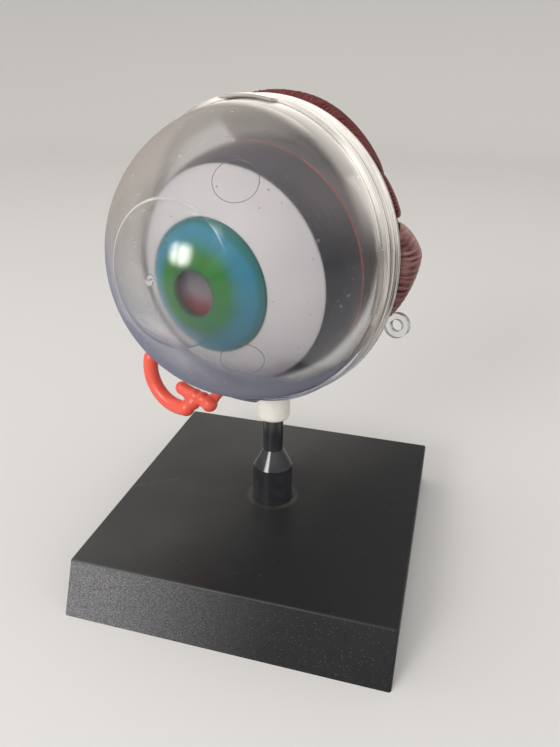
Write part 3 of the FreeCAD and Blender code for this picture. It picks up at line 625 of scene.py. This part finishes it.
def muscle_tree():
    """A block bent round the globe, swollen in the middle and ribbed along its length."""
    tree = bpy.data.node_groups.new("ribbed_muscle", "GeometryNodeTree")
    face = tree.interface
    wanted = ["Clock", "Half Width", "Start", "End", "Bulk", "Edge", "Ribs", "Rib Depth",
              "Thread Depth", "Roundness", "Rib Hold", "Wander", "Skew", "Fullness",
              "Taper", "Slant", "Thinning", "Fray", "Seed", "Inner"]
    for name in wanted:
        face.new_socket(name, in_out="INPUT", socket_type="NodeSocketFloat")
    face.new_socket("Across", in_out="INPUT", socket_type="NodeSocketInt")
    face.new_socket("Finish", in_out="INPUT", socket_type="NodeSocketMaterial")
    face.new_socket("Geometry", in_out="OUTPUT", socket_type="NodeSocketGeometry")
    body = Sheet(tree)
    start = body.node("NodeGroupInput")
    entry = {item.name: start.also(item.name) for item in face.items_tree
             if item.in_out == "INPUT"}
    block = body.node("GeometryNodeMeshCube", None,
                      {"Size": (1, 1, 1), "Vertices X": entry["Across"],
                       "Vertices Y": MUSCLE_STEPS, "Vertices Z": 3})
    x, y, z = body.split(body.node("GeometryNodeInputPosition"))
    # Side runs from -1 to 1 across the muscle, share from 0 to 1 along it
    side = x * 2
    share = y + 0.5
    swell = (pi * (MUSCLE_END + (1 - 2 * MUSCLE_END) * share)).math("SINE")
    half = entry["Half Width"] * (MUSCLE_WAIST + (1 - MUSCLE_WAIST) * swell)
    half = half * (1 + entry["Taper"] * (0.5 - share)) * (1 - 0.42 * share.fade(0.68, 1.03))
    # Thickness, without the ribs
    lop = side - entry["Skew"]
    lop = lop / (1 - entry["Skew"] * lop.math("SIGN"))
    crown = (entry["Bulk"] - entry["Edge"]) * swell * (1 - abs(lop) ** entry["Fullness"])
    crown = crown * (1 - entry["Thinning"] * side.fade(0.1, 0.95))
    rim = (1 - abs(side) ** 12) ** 0.5
    tips = (1 - abs(y * 2) ** 16) ** 0.5
    depth = (entry["Edge"] * (1 - side * entry["Slant"]) + crown) * (0.2 + 0.8 * rim * tips)
    # Ribs that wander a little, with finer threads on them
    sway = body.node("ShaderNodeTexNoise", {"noise_dimensions": "4D"},
                     {"Vector": body.join(side * 1.6, share * 2.2, 0), "W": entry["Seed"],
                      "Scale": 1.0, "Detail": 2.0})
    wave = side * entry["Ribs"] * (pi / 2) + (sway - 0.5) * entry["Wander"]
    ridge = abs(wave.math("SINE")) ** entry["Roundness"]
    fading = entry["Rib Hold"] + (1 - entry["Rib Hold"]) * share.fade(0.30, 0.08)
    thread = abs((wave * THREADS_PER_RIB).math("SINE")) ** 0.6
    groove = entry["Rib Depth"] * (1 - ridge) * fading + entry["Thread Depth"] * (1 - thread)
    groove = groove * rim * tips
    radius = entry["Inner"] + (z + 0.5) * (depth - groove)
    # Length, with an uneven front edge and rounded back corners
    fray = body.node("ShaderNodeTexNoise", {"noise_dimensions": "1D"},
                     {"W": side * entry["Ribs"] * 0.7, "Scale": 1.0, "Detail": 1.0})
    rounded = share * (1 - 0.16 * share * abs(side) ** 3)
    lean = entry["Start"] + (entry["End"] - entry["Start"]) * rounded
    lean = lean + (fray - 0.5) * entry["Fray"] * (1 - share)
    # Bent round the globe
    aside = side * half
    clock = entry["Clock"]
    ahead = aside.math("COSINE") * lean.math("SINE")
    across = aside.math("SINE")
    point = body.join(
        (ahead * clock.math("SINE") + across * clock.math("COSINE")) * radius,
        (ahead * clock.math("COSINE") - across * clock.math("SINE")) * radius,
        aside.math("COSINE") * lean.math("COSINE") * radius,
    )
    # How far each point stands out, which the finish turns into painted shade in the grooves and
    # underneath
    raised = (1 - (1 - ridge) * fading) * (0.6 + 0.4 * thread) * (z + 0.5)
    marked = body.node("GeometryNodeStoreNamedAttribute", {"data_type": "FLOAT"},
                       {"Geometry": block, "Name": "ridge", "Value": raised})
    route = body.join(aside * entry["Inner"], lean * entry["Inner"], share)
    marked = body.node("GeometryNodeStoreNamedAttribute", {"data_type": "FLOAT_VECTOR"},
                       {"Geometry": marked, "Name": "along", "Value": route})
    bent = body.node("GeometryNodeSetPosition", None, {"Geometry": marked, "Position": point})
    soft = body.node("GeometryNodeSetShadeSmooth", None, {"Geometry": bent})
    real = body.node("GeometryNodeRealizeInstances", None, {"Geometry": soft})
    done = body.node("GeometryNodeSetMaterial", None,
                     {"Geometry": real, "Material": entry["Finish"]})
    tree.nodes.new("NodeGroupOutput")
    tree.links.new(done.socket, tree.nodes["Group Output"].inputs["Geometry"])
    return tree


def grown(tree, **sizes):
    """The plain mesh that a node tree makes with these inputs."""
    seed = bpy.data.objects.new("seed", bpy.data.meshes.new("seed"))
    bpy.context.scene.collection.objects.link(seed)
    grower = seed.modifiers.new("grow", "NODES")
    grower.node_group = tree
    for item in tree.interface.items_tree:
        key = item.name.lower().replace(" ", "_")
        if item.in_out == "INPUT" and key in sizes:
            grower[item.identifier] = sizes[key]
    bpy.context.view_layer.update()
    shown = seed.evaluated_get(bpy.context.evaluated_depsgraph_get())
    mesh = bpy.data.meshes.new_from_object(shown)
    bpy.data.objects.remove(seed)
    return mesh


def add_peg(mesh, clock, angle, material):
    """A round peg with a bevelled tip, along a radius of the globe."""
    way = towards(clock, angle)
    inner = GLOBE_RADIUS - SHELL_WALL - PEG_REACH
    outer = GLOBE_RADIUS + MUSCLE_GAP + PEG_RADIUS / 4
    shape = bmesh.new()
    shape.from_mesh(mesh)
    stand = Matrix.Translation(way * (inner + outer) / 2) @ facing(way)
    rod = bmesh.ops.create_cone(shape, cap_ends=True, segments=PEG_SIDES, radius1=PEG_RADIUS,
                                radius2=PEG_RADIUS, depth=outer - inner, matrix=stand)
    rims = [edge for vert in rod["verts"] for edge in vert.link_edges
            if edge.calc_face_angle(0) > 1 and vert.co.length < inner + PEG_REACH / 2]
    bmesh.ops.bevel(shape, geom=list(set(rims)), offset=PEG_BEVEL, segments=2, affect="EDGES")
    shape.to_mesh(mesh)
    shape.free()
    mesh.materials.clear()
    mesh.materials.append(material)


MUSCLE_STEPS = 72
MUSCLE_END = 0.2
MUSCLE_WAIST = 0.75
RIB_STEPS = 8
THREADS_PER_RIB = 2.6
# Clock, half width, start and end in degrees about the globe; bulk, edge and rib depth in mm;
# rib hold is the share of the ribs' depth that lasts to the back. The top muscle thins out
# towards the oblique, the two side ones are fullest above their middle, and the oblique
# narrows to the back.
MUSCLES = {
    "superior_rectus": dict(clock=8.6, half_width=37.4, start=98, end=146, bulk=4.3, ribs=64,
                            rib_depth=0.42, rib_hold=0.8, wander=24, fray=2.5, fullness=2.8,
                            thinning=0.55, finish=WINE),
    "lateral_rectus": dict(clock=91.4, half_width=17.3, start=97, end=140, bulk=5.2, ribs=16,
                           rib_depth=0.75, rib_hold=0.08, wander=3, fullness=1.35, skew=-0.35,
                           finish=BROWN),
    "medial_rectus": dict(clock=-91.4, half_width=17.3, start=97, end=140, bulk=5.2, ribs=16,
                          rib_depth=0.75, rib_hold=0.08, wander=3, fullness=1.35, skew=0.35,
                          finish=BROWN),
    "inferior_rectus": dict(clock=180, half_width=23, start=121, end=152, bulk=3.6, ribs=18,
                            rib_depth=0.60, rib_hold=0.3, wander=3, finish=BROWN),
    "superior_oblique": dict(clock=60.6, half_width=8.2, start=103, end=119, bulk=0.8, ribs=14,
                             rib_depth=0.12, rib_hold=0.8, wander=5, fray=2.5, edge=0.7,
                             taper=0.4, slant=-0.3, finish=WINE),
}
PLAIN_MUSCLE = dict(edge=1.1, fray=0.8, fullness=2.0, skew=0.0, taper=0.0, slant=0.0,
                    thinning=0.0)
ANGLES = ("clock", "half_width", "start", "end", "fray")
LENGTHS = ("bulk", "edge", "rib_depth", "thread_depth")


def muscle_mesh(tree, seed, plan):
    """One muscle's ribbed block with its peg, in the globe's frame."""
    sizes = PLAIN_MUSCLE | plan
    middle = (sizes["start"] + sizes["end"]) / 2
    sizes["thread_depth"] = min(sizes["rib_depth"] * 0.3, 0.18)
    sizes["roundness"] = 0.8 if sizes["rib_hold"] > 0.5 else 1.8
    sizes["across"] = sizes["ribs"] * RIB_STEPS
    for key in ANGLES:
        sizes[key] = radians(sizes[key])
    for key in LENGTHS:
        sizes[key] = sizes[key] * MM
    for key in ("ribs", "wander"):
        sizes[key] = float(sizes[key])
    mesh = grown(tree, seed=float(seed), inner=GLOBE_RADIUS + MUSCLE_GAP, **sizes)
    add_peg(mesh, plan["clock"], middle, plan["finish"])
    return mesh


ribbed = muscle_tree()
for seed, (name, plan) in enumerate(MUSCLES.items()):
    mesh = muscle_mesh(ribbed, seed, plan)
    mesh.transform(GLOBE)
    settle(name + "_fibres", mesh, name, "brown_muscle", name)


# Lumps of the red hook: places beside, above and ahead of the globe's centre, in globe radii,
# then their radius in mm
LUMPS = [
    (-0.587, -1.332, 0.000, 2.55), (-0.530, -1.270, -0.010, 2.35), (-0.655, -1.180, -0.027, 2.05),
    (-0.590, -1.205, -0.020, 1.95), (-0.516, -1.212, -0.027, 2.20), (-0.445, -1.222, -0.027, 2.30),
]
MERGE_WITHIN = 0.01 * MM
MELT_GRAIN = 0.3 * MM
EASE_SHARE = 0.6
EASE_TIMES = 8


def hook_mesh():
    """The red muscle: the plain bars and their lumps melted into one soft moulding."""
    shape = bmesh.new()
    shape.from_mesh(NODES["inferior_oblique"].data)
    bmesh.ops.remove_doubles(shape, verts=shape.verts, dist=MERGE_WITHIN)
    for x, y, z, reach in LUMPS:
        middle = GLOBE @ (Vector((x, y, z)) * GLOBE_RADIUS)
        bmesh.ops.create_icosphere(shape, subdivisions=3, radius=reach * MM,
                                   matrix=Matrix.Translation(middle))
    mesh = bpy.data.meshes.new("hook")
    shape.to_mesh(mesh)
    shape.free()
    soft = bpy.data.objects.new("hook", mesh)
    bpy.context.scene.collection.objects.link(soft)
    melt = soft.modifiers.new("melt", "REMESH")
    melt.mode = "VOXEL"
    melt.voxel_size = MELT_GRAIN
    ease = soft.modifiers.new("ease", "SMOOTH")
    ease.factor = EASE_SHARE
    ease.iterations = EASE_TIMES
    bpy.context.view_layer.update()
    shown = soft.evaluated_get(bpy.context.evaluated_depsgraph_get())
    done = bpy.data.meshes.new_from_object(shown)
    bpy.data.objects.remove(soft)
    done.shade_smooth()
    done.materials.clear()
    done.materials.append(RED)
    return done


settle("inferior_oblique_hook", hook_mesh(), "inferior_oblique", "red_muscle",
       "inferior_oblique")

# Two thin circles that the mould's pins left on the clear front
MARK_RADIUS = 4.9 * MM
MARK_LINE = 0.08 * MM
MARK_TURNS = 120
MARK_CORNERS = 8
MARKS = [(31.7, 41.3), (135.5, 39.7)]


def mould_marks():
    """Thin rings sunk by half into the front shell's outer face."""
    shape = bmesh.new()
    rise = sqrt(GLOBE_RADIUS ** 2 - MARK_RADIUS ** 2)
    for clock, angle in MARKS:
        lay = facing(towards(clock, angle))
        rows = []
        for step in range(MARK_TURNS):
            turn = 2 * pi * step / MARK_TURNS
            row = []
            for corner in range(MARK_CORNERS):
                bend = 2 * pi * corner / MARK_CORNERS
                reach = MARK_RADIUS + MARK_LINE * cos(bend)
                height = rise + MARK_LINE * sin(bend)
                point = Vector((reach * cos(turn), reach * sin(turn), height))
                row.append(shape.verts.new(lay @ point))
            rows.append(row)
        for step in range(MARK_TURNS):
            here = rows[step]
            there = rows[(step + 1) % MARK_TURNS]
            for corner in range(MARK_CORNERS):
                after = (corner + 1) % MARK_CORNERS
                shape.faces.new((here[corner], there[corner], there[after], here[after]))
    bmesh.ops.recalc_face_normals(shape, faces=shape.faces)
    mesh = bpy.data.meshes.new("mould_marks")
    shape.to_mesh(mesh)
    shape.free()
    mesh.shade_smooth()
    mesh.materials.append(mark_grey())
    mesh.transform(GLOBE)
    return mesh


settle("mould_marks", mould_marks(), "front_shell", "clear_shell")

# ---------------------------------------------------------------- stage

FLOOR_REACH = 3.0
WALL_Y = 1.6
SWEEP = 0.5
SWEEP_STEPS = 24
ROUND_WALL = 1.55
ROUND_STEPS = 128


def sweep_line(start, wall):
    """Side view of a floor that sweeps up into a wall."""
    line = [(start, 0.0), (wall - SWEEP, 0.0)]
    for step in range(1, SWEEP_STEPS + 1):
        turn = pi / 2 * step / SWEEP_STEPS
        line.append((wall - SWEEP + SWEEP * sin(turn), SWEEP - SWEEP * cos(turn)))
    line.append((wall, FLOOR_REACH))
    return line


def stage_piece(name, rows, material):
    """A sheet through rows of points, which isn't part of the object."""
    shape = bmesh.new()
    rows = [[shape.verts.new(point) for point in row] for row in rows]
    for one, two in zip(rows, rows[1:]):
        for step in range(len(one) - 1):
            shape.faces.new((one[step], two[step], two[step + 1], one[step + 1]))
    mesh = bpy.data.meshes.new(name)
    shape.to_mesh(mesh)
    shape.free()
    mesh.shade_smooth()
    mesh.materials.append(material)
    piece = bpy.data.objects.new(name, mesh)
    bpy.context.scene.collection.objects.link(piece)
    return piece


def floor_pale():
    """Matt pale grey, a little cloudy."""
    skin = Finish("floor_pale")
    cloud = skin.noise(skin.place(), 0.4, 3)
    return skin.set(Base_Color=skin.mix(cloud, (0.60, 0.585, 0.565), (0.63, 0.615, 0.60)),
                    Roughness=0.75)


pale = floor_pale()
line = sweep_line(-FLOOR_REACH, WALL_Y)
stage_piece("floor", [[(x, y, z) for y, z in line] for x in (-FLOOR_REACH, FLOOR_REACH)], pale)
# A round wall that only the camera sees, so that every side has the same backdrop
line = sweep_line(ROUND_WALL - SWEEP, ROUND_WALL)[1:]
turns = [2 * pi * step / ROUND_STEPS for step in range(ROUND_STEPS + 1)]
surround = stage_piece("surround", [[(y * sin(turn), y * cos(turn), z) for y, z in line]
                                    for turn in turns], pale)
surround.visible_diffuse = False
surround.visible_glossy = False
surround.visible_transmission = False
surround.visible_shadow = False


def soften(light):
    """Let the box's glow fall off towards its edges, with a dimmer bar across it."""
    light.use_nodes = True
    glow = Sheet(light.node_tree)
    across = glow.node("ShaderNodeNewGeometry", output="Parametric")
    u, v = glow.split(across)[:2]
    away = (abs(u - 0.5) ** 3 + abs(v - 0.5) ** 3) ** (1 / 3)
    bar = abs(u - 0.42).fade(0.09, 0.03) * 0.55
    shine = away.fade(0.5, 0.1) * (1 - bar) * 2.4
    glow.feed(light.node_tree.nodes["Emission"].inputs["Strength"], shine)


def lamp(name, way, distance, width, height, power, color=(1, 1, 1), spread=180,
         mirrored=False):
    """A soft box that faces the globe from a direction."""
    light = bpy.data.lights.new(name, "AREA")
    light.shape = "RECTANGLE"
    light.size = width
    light.size_y = height
    light.energy = power
    light.spread = radians(spread)
    light.color = color
    if mirrored:
        soften(light)
    box = bpy.data.objects.new(name, light)
    box.location = GLOBE.translation + Vector(way).normalized() * distance
    box.rotation_euler = Vector(way).to_track_quat("Z", "Y").to_euler()
    box.visible_glossy = mirrored
    box.visible_transmission = mirrored
    bpy.context.scene.collection.objects.link(box)


lamp("window", way=(-0.350, -0.866, 0.358), distance=0.95, width=0.54, height=0.50, power=1.98,
     color=(1.0, 0.98, 0.95), spread=100, mirrored=True)
lamp("ceiling", way=(-0.25, -0.1, 1.0), distance=1.3, width=1.1, height=1.1, power=3)

ROOM_LOW = (0.29, 0.287, 0.292, 1)
ROOM_HIGH = (1.22, 1.21, 1.19, 1)
ROOM_SEEN = (0.64, 0.62, 0.598, 1)


def room():
    """An even pale room, brighter overhead; the camera sees one plain colour of it."""
    world = bpy.data.worlds.new("room")
    world.use_nodes = True
    sky = Sheet(world.node_tree)
    way = sky.node("ShaderNodeTexCoord", output="Generated")
    height = sky.split(way)[2]
    color = sky.node("ShaderNodeMix", {"data_type": "RGBA"},
                     {0: height.fade(-0.1, 0.9), 6: ROOM_LOW, 7: ROOM_HIGH}, output=2)
    path = sky.node("ShaderNodeLightPath")
    seen = path + path.also("Is Transmission Ray")
    color = sky.node("ShaderNodeMix", {"data_type": "RGBA", "clamp_factor": True},
                     {0: seen, 6: color, 7: ROOM_SEEN}, output=2)
    sky.feed(world.node_tree.nodes["Background"].inputs["Color"], color)
    return world


bpy.context.scene.world = room()
bpy.context.scene.view_settings.view_transform = "Standard"

# ---------------------------------------------------------------- camera

CAMERA_PLACE = (47.64 * MM, -170.33 * MM, 141.29 * MM)
CAMERA_TURN = (64.90, -0.88, 15.46)
CAMERA_LENS = 31.58
CAMERA_FILM = 36
CAMERA_NEAR = 0.01

eye = bpy.data.cameras.new("camera")
eye.lens = CAMERA_LENS
eye.sensor_width = CAMERA_FILM
eye.clip_start = CAMERA_NEAR
camera = bpy.data.objects.new("camera", eye)
camera.location = CAMERA_PLACE
camera.rotation_euler = [radians(angle) for angle in CAMERA_TURN]
bpy.context.scene.collection.objects.link(camera)
bpy.context.scene.camera = camera
